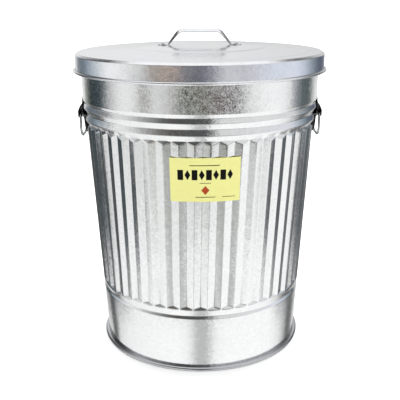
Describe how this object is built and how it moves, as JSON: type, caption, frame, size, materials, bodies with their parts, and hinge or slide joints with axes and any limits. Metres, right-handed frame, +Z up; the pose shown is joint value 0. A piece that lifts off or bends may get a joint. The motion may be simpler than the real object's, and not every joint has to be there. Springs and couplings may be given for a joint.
{
  "type": "waste can",
  "caption": "Fluted galvanised steel waste can on a rolled foot hoop, with a lift-off lid with a strap handle and a swinging wire bail on each side.",
  "frame": {"origin": "on the floor, at the centre of the foot hoop's underside", "axes": "+Z up along the can's axis; the front with the label faces -Y; the bails are at -X (left) and +X (right)"},
  "size_m": [0.407, 0.407, 0.519],
  "materials": {
    "galvanised_sheet": "galvanised, semi-gloss, fine spangle",
    "zinc_wire": "galvanised, satin",
    "black_enamel": "satin black",
    "zinc_rivet": "zinc plated",
    "label_print": "printed film, satin"
  },
  "bodies": {
    "can": {"body_shell": "galvanised_sheet", "rim_wire": "zinc_wire", "bottom_pan": "galvanised_sheet", "foot_hoop": "galvanised_sheet", "front_label": "label_print", "bracket_left": "black_enamel", "bracket_right": "black_enamel", "bracket_rivet_left_front": "zinc_rivet", "bracket_rivet_left_rear": "zinc_rivet", "bracket_rivet_right_front": "zinc_rivet", "bracket_rivet_right_rear": "zinc_rivet", "bracket_washer_left_front": "zinc_rivet", "bracket_washer_left_rear": "zinc_rivet", "bracket_washer_right_front": "zinc_rivet", "bracket_washer_right_rear": "zinc_rivet"},
    "lid": {"lid_shell": "galvanised_sheet", "lid_edge_wire": "zinc_wire", "lid_handle": "galvanised_sheet", "lid_rivet_left": "zinc_rivet", "lid_rivet_right": "zinc_rivet", "lid_washer_left": "zinc_rivet", "lid_washer_right": "zinc_rivet"},
    "bail_l": {"bail_left": "zinc_wire"},
    "bail_r": {"bail_right": "zinc_wire"}
  },
  "joints": [
    {"name": "lid_lift", "type": "slide", "parent": "can", "child": "lid", "axis": [0, 0, 1], "range_m": [0, 0.2]},
    {"name": "bail_left_swing", "type": "hinge", "parent": "can", "child": "bail_l", "pos_m": [-0.1928, 0, 0.385], "axis": [0, 1, 0], "range_deg": [-5, 170]},
    {"name": "bail_right_swing", "type": "hinge", "parent": "can", "child": "bail_r", "pos_m": [0.1928, 0, 0.385], "axis": [0, -1, 0], "range_deg": [-5, 170]}
  ]
}
